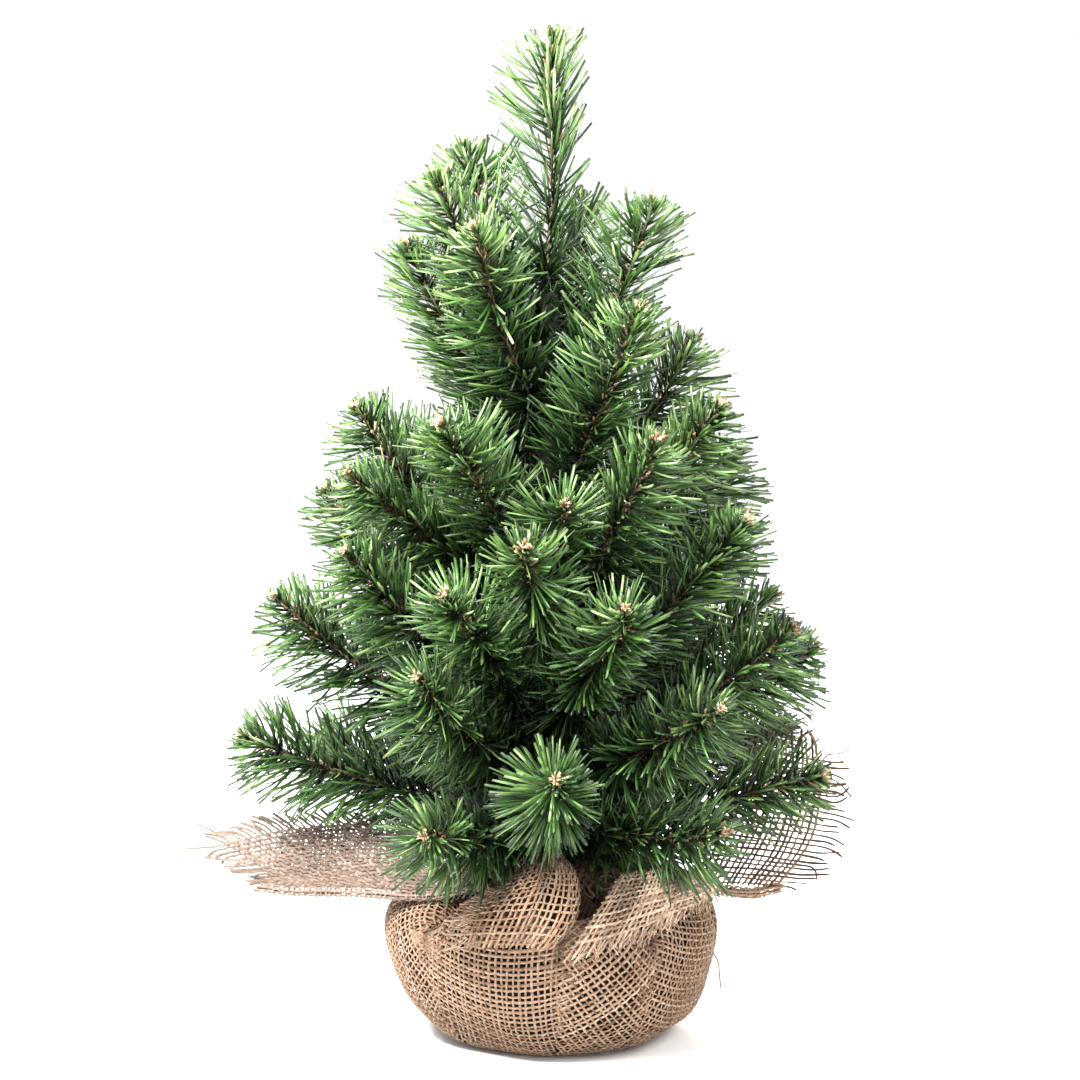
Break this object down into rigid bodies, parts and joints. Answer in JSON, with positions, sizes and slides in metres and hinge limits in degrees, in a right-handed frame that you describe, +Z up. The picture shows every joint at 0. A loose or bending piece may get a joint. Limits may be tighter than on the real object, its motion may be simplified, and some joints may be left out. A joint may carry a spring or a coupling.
{
  "type": "artificial tabletop tree",
  "caption": "Small artificial pine tree with bendable wired branches of green plastic needles, on a weighted pot wrapped in gathered burlap.",
  "frame": {"origin": "centre of the flat bottom of the wrapped pot, on the surface the tree stands on", "axes": "+Z up along the trunk; -Y is the tree's front, with the folded corner of burlap; +X is its right side seen from the front"},
  "size_m": [0.279, 0.2702, 0.446],
  "materials": {
    "pvc_foliage": "satin",
    "burlap": "matte",
    "twine": "matte",
    "pot_plastic": "satin",
    "cement": "matte",
    "steel": "satin",
    "brown_tape": "satin"
  },
  "bodies": {
    "base": {"burlap_wrap": "burlap", "neck_tie": "twine", "inner_pot": "pot_plastic", "ballast_block": "cement", "trunk_rod": "steel", "branch_tails": "steel", "trunk_tape": "brown_tape"},
    "branch_01": {"branch_01": "pvc_foliage"},
    "branch_02": {"branch_02": "pvc_foliage"},
    "branch_03": {"branch_03": "pvc_foliage"},
    "branch_04": {"branch_04": "pvc_foliage"},
    "branch_05": {"branch_05": "pvc_foliage"},
    "branch_06": {"branch_06": "pvc_foliage"},
    "branch_07": {"branch_07": "pvc_foliage"},
    "branch_08": {"branch_08": "pvc_foliage"},
    "branch_09": {"branch_09": "pvc_foliage"},
    "branch_10": {"branch_10": "pvc_foliage"},
    "branch_11": {"branch_11": "pvc_foliage"},
    "branch_12": {"branch_12": "pvc_foliage"},
    "branch_13": {"branch_13": "pvc_foliage"},
    "branch_14": {"branch_14": "pvc_foliage"},
    "branch_15": {"branch_15": "pvc_foliage"},
    "branch_16": {"branch_16": "pvc_foliage"},
    "branch_17": {"branch_17": "pvc_foliage"},
    "branch_18": {"branch_18": "pvc_foliage"},
    "branch_19": {"branch_19": "pvc_foliage"},
    "branch_20": {"branch_20": "pvc_foliage"},
    "branch_21": {"branch_21": "pvc_foliage"},
    "branch_22": {"branch_22": "pvc_foliage"},
    "branch_23": {"branch_23": "pvc_foliage"},
    "branch_24": {"branch_24": "pvc_foliage"},
    "branch_25": {"branch_25": "pvc_foliage"},
    "branch_26": {"branch_26": "pvc_foliage"},
    "branch_27": {"branch_27": "pvc_foliage"},
    "branch_28": {"branch_28": "pvc_foliage"},
    "branch_29": {"branch_29": "pvc_foliage"},
    "branch_30": {"branch_30": "pvc_foliage"},
    "branch_31": {"branch_31": "pvc_foliage"},
    "branch_32": {"branch_32": "pvc_foliage"},
    "branch_33": {"branch_33": "pvc_foliage"},
    "branch_34": {"branch_34": "pvc_foliage"},
    "branch_35": {"branch_35": "pvc_foliage"},
    "branch_36": {"branch_36": "pvc_foliage"},
    "branch_37": {"branch_37": "pvc_foliage"},
    "branch_38": {"branch_38": "pvc_foliage"},
    "branch_39": {"branch_39": "pvc_foliage"},
    "branch_40": {"branch_40": "pvc_foliage"},
    "branch_41": {"branch_41": "pvc_foliage"},
    "branch_42": {"branch_42": "pvc_foliage"},
    "branch_43": {"branch_43": "pvc_foliage"},
    "branch_44": {"branch_44": "pvc_foliage"},
    "branch_45": {"branch_45": "pvc_foliage"},
    "branch_46": {"branch_46": "pvc_foliage"},
    "branch_47": {"branch_47": "pvc_foliage"},
    "leader": {"leader": "pvc_foliage"}
  },
  "joints": [
    {"name": "branch_01_bend", "type": "hinge", "parent": "base", "child": "branch_01", "pos_m": [-0.0058, -0.0002, 0.098], "axis": [-0.0349, 0.9994, 0], "range_deg": [-6, 14]},
    {"name": "branch_02_bend", "type": "hinge", "parent": "base", "child": "branch_02", "pos_m": [-0.00263, -0.00517, 0.092], "axis": [-0.891, 0.454, 0], "range_deg": [-6, 14]},
    {"name": "branch_03_bend", "type": "hinge", "parent": "base", "child": "branch_03", "pos_m": [0.0002, -0.0058, 0.101], "axis": [-0.9994, -0.0349, 0], "range_deg": [-6, 14]},
    {"name": "branch_04_bend", "type": "hinge", "parent": "base", "child": "branch_04", "pos_m": [0.00396, -0.00424, 0.094], "axis": [-0.7314, -0.682, 0], "range_deg": [-6, 14]},
    {"name": "branch_05_bend", "type": "hinge", "parent": "base", "child": "branch_05", "pos_m": [0.00578, -0.00051, 0.097], "axis": [-0.0872, -0.9962, 0], "range_deg": [-6, 14]},
    {"name": "branch_06_bend", "type": "hinge", "parent": "base", "child": "branch_06", "pos_m": [0.00492, 0.00307, 0.1], "axis": [0.5299, -0.848, 0], "range_deg": [-6, 14]},
    {"name": "branch_07_bend", "type": "hinge", "parent": "base", "child": "branch_07", "pos_m": [0.00217, 0.00538, 0.093], "axis": [0.9272, -0.3746, 0], "range_deg": [-6, 14]},
    {"name": "branch_08_bend", "type": "hinge", "parent": "base", "child": "branch_08", "pos_m": [-0.0015, 0.0056, 0.099], "axis": [0.9659, 0.2588, 0], "range_deg": [-6, 14]},
    {"name": "branch_09_bend", "type": "hinge", "parent": "base", "child": "branch_09", "pos_m": [-0.00475, 0.00333, 0.094], "axis": [0.5736, 0.8192, 0], "range_deg": [-6, 14]},
    {"name": "branch_10_bend", "type": "hinge", "parent": "base", "child": "branch_10", "pos_m": [-0.00574, -0.00081, 0.116], "axis": [-0.1392, 0.9903, 0], "range_deg": [-10, 14]},
    {"name": "branch_11_bend", "type": "hinge", "parent": "base", "child": "branch_11", "pos_m": [-0.0029, -0.00502, 0.118], "axis": [-0.866, 0.5, 0], "range_deg": [-10, 14]},
    {"name": "branch_12_bend", "type": "hinge", "parent": "base", "child": "branch_12", "pos_m": [0.00357, -0.00457, 0.114], "axis": [-0.788, -0.6157, 0], "range_deg": [-10, 14]},
    {"name": "branch_13_bend", "type": "hinge", "parent": "base", "child": "branch_13", "pos_m": [0.00552, -0.00179, 0.112], "axis": [-0.309, -0.9511, 0], "range_deg": [-10, 14]},
    {"name": "branch_14_bend", "type": "hinge", "parent": "base", "child": "branch_14", "pos_m": [0.00517, 0.00263, 0.124], "axis": [0.454, -0.891, 0], "range_deg": [-10, 14]},
    {"name": "branch_15_bend", "type": "hinge", "parent": "base", "child": "branch_15", "pos_m": [0.00579, 0.0004, 0.12], "axis": [0.0698, -0.9976, 0], "range_deg": [-10, 14]},
    {"name": "branch_16_bend", "type": "hinge", "parent": "base", "child": "branch_16", "pos_m": [0.00333, 0.00475, 0.113], "axis": [0.8192, -0.5736, 0], "range_deg": [-10, 14]},
    {"name": "branch_17_bend", "type": "hinge", "parent": "base", "child": "branch_17", "pos_m": [-0.0002, 0.0058, 0.12], "axis": [0.9994, 0.0349, 0], "range_deg": [-10, 14]},
    {"name": "branch_18_bend", "type": "hinge", "parent": "base", "child": "branch_18", "pos_m": [-0.00431, 0.00388, 0.115], "axis": [0.6691, 0.7431, 0], "range_deg": [-10, 14]},
    {"name": "branch_19_bend", "type": "hinge", "parent": "base", "child": "branch_19", "pos_m": [-0.00217, -0.00538, 0.142], "axis": [-0.9272, 0.3746, 0], "range_deg": [-10, 14]},
    {"name": "branch_20_bend", "type": "hinge", "parent": "base", "child": "branch_20", "pos_m": [0.0017, -0.00555, 0.14], "axis": [-0.9563, -0.2924, 0], "range_deg": [-10, 14]},
    {"name": "branch_21_bend", "type": "hinge", "parent": "base", "child": "branch_21", "pos_m": [-0.00051, -0.00578, 0.164], "axis": [-0.9962, 0.0872, 0], "range_deg": [-10, 14]},
    {"name": "branch_22_bend", "type": "hinge", "parent": "base", "child": "branch_22", "pos_m": [-0.00469, -0.00341, 0.136], "axis": [-0.5878, 0.809, 0], "range_deg": [-10, 14]},
    {"name": "branch_23_bend", "type": "hinge", "parent": "base", "child": "branch_23", "pos_m": [-0.00558, 0.0016, 0.148], "axis": [0.2756, 0.9613, 0], "range_deg": [-10, 14]},
    {"name": "branch_24_bend", "type": "hinge", "parent": "base", "child": "branch_24", "pos_m": [0.00475, -0.00333, 0.148], "axis": [-0.5736, -0.8192, 0], "range_deg": [-10, 14]},
    {"name": "branch_25_bend", "type": "hinge", "parent": "base", "child": "branch_25", "pos_m": [0.00444, 0.00373, 0.152], "axis": [0.6428, -0.766, 0], "range_deg": [-10, 14]},
    {"name": "branch_26_bend", "type": "hinge", "parent": "base", "child": "branch_26", "pos_m": [0.00121, 0.00567, 0.145], "axis": [0.9781, -0.2079, 0], "range_deg": [-10, 14]},
    {"name": "branch_27_bend", "type": "hinge", "parent": "base", "child": "branch_27", "pos_m": [-0.00272, 0.00512, 0.142], "axis": [0.8829, 0.4695, 0], "range_deg": [-10, 14]},
    {"name": "branch_28_bend", "type": "hinge", "parent": "base", "child": "branch_28", "pos_m": [-0.00512, -0.00272, 0.195], "axis": [-0.4695, 0.8829, 0], "range_deg": [-10, 14]},
    {"name": "branch_29_bend", "type": "hinge", "parent": "base", "child": "branch_29", "pos_m": [-0.00579, -0.0004, 0.182], "axis": [-0.0698, 0.9976, 0], "range_deg": [-10, 14]},
    {"name": "branch_30_bend", "type": "hinge", "parent": "base", "child": "branch_30", "pos_m": [-0.00316, -0.00486, 0.206], "axis": [-0.8387, 0.5446, 0], "range_deg": [-10, 14]},
    {"name": "branch_31_bend", "type": "hinge", "parent": "base", "child": "branch_31", "pos_m": [0.00051, -0.00578, 0.196], "axis": [-0.9962, -0.0872, 0], "range_deg": [-10, 14]},
    {"name": "branch_32_bend", "type": "hinge", "parent": "base", "child": "branch_32", "pos_m": [0.00538, 0.00217, 0.18], "axis": [0.3746, -0.9272, 0], "range_deg": [-10, 14]},
    {"name": "branch_33_bend", "type": "hinge", "parent": "base", "child": "branch_33", "pos_m": [0.00512, -0.00272, 0.19], "axis": [-0.4695, -0.8829, 0], "range_deg": [-10, 14]},
    {"name": "branch_34_bend", "type": "hinge", "parent": "base", "child": "branch_34", "pos_m": [0.0029, -0.00502, 0.178], "axis": [-0.866, -0.5, 0], "range_deg": [-10, 14]},
    {"name": "branch_35_bend", "type": "hinge", "parent": "base", "child": "branch_35", "pos_m": [0.00272, 0.00512, 0.188], "axis": [0.8829, -0.4695, 0], "range_deg": [-10, 14]},
    {"name": "branch_36_bend", "type": "hinge", "parent": "base", "child": "branch_36", "pos_m": [-0.00198, 0.00545, 0.182], "axis": [0.9397, 0.342, 0], "range_deg": [-10, 14]},
    {"name": "branch_37_bend", "type": "hinge", "parent": "base", "child": "branch_37", "pos_m": [-0.00475, 0.00333, 0.19], "axis": [0.5736, 0.8192, 0], "range_deg": [-10, 14]},
    {"name": "branch_38_bend", "type": "hinge", "parent": "base", "child": "branch_38", "pos_m": [0.00574, 0.00081, 0.222], "axis": [0.1392, -0.9903, 0], "range_deg": [-10, 14]},
    {"name": "branch_39_bend", "type": "hinge", "parent": "base", "child": "branch_39", "pos_m": [0.00373, -0.00444, 0.238], "axis": [-0.766, -0.6428, 0], "range_deg": [-10, 14]},
    {"name": "branch_40_bend", "type": "hinge", "parent": "base", "child": "branch_40", "pos_m": [-0.00579, 0.0003, 0.262], "axis": [0.0523, 0.9986, 0], "range_deg": [-10, 14]},
    {"name": "branch_41_bend", "type": "hinge", "parent": "base", "child": "branch_41", "pos_m": [0.00101, 0.00571, 0.23], "axis": [0.9848, -0.1736, 0], "range_deg": [-10, 14]},
    {"name": "branch_42_bend", "type": "hinge", "parent": "base", "child": "branch_42", "pos_m": [-0.0041, 0.0041, 0.236], "axis": [0.7071, 0.7071, 0], "range_deg": [-10, 14]},
    {"name": "branch_43_bend", "type": "hinge", "parent": "base", "child": "branch_43", "pos_m": [-0.00388, -0.00431, 0.278], "axis": [-0.7431, 0.6691, 0], "range_deg": [-10, 14]},
    {"name": "branch_44_bend", "type": "hinge", "parent": "base", "child": "branch_44", "pos_m": [0.00558, -0.0016, 0.272], "axis": [-0.2756, -0.9613, 0], "range_deg": [-10, 14]},
    {"name": "branch_45_bend", "type": "hinge", "parent": "base", "child": "branch_45", "pos_m": [-0.00552, -0.00179, 0.3], "axis": [-0.309, 0.9511, 0], "range_deg": [-10, 14]},
    {"name": "branch_46_bend", "type": "hinge", "parent": "base", "child": "branch_46", "pos_m": [-0.00475, 0.00333, 0.314], "axis": [0.5736, 0.8192, 0], "range_deg": [-10, 14]},
    {"name": "branch_47_bend", "type": "hinge", "parent": "base", "child": "branch_47", "pos_m": [0.00198, 0.00545, 0.29], "axis": [0.9397, -0.342, 0], "range_deg": [-10, 14]},
    {"name": "leader_bend", "type": "hinge", "parent": "base", "child": "leader", "pos_m": [-0.001, 0, 0.333], "axis": [0, 1, 0], "range_deg": [-12, 12]}
  ]
}
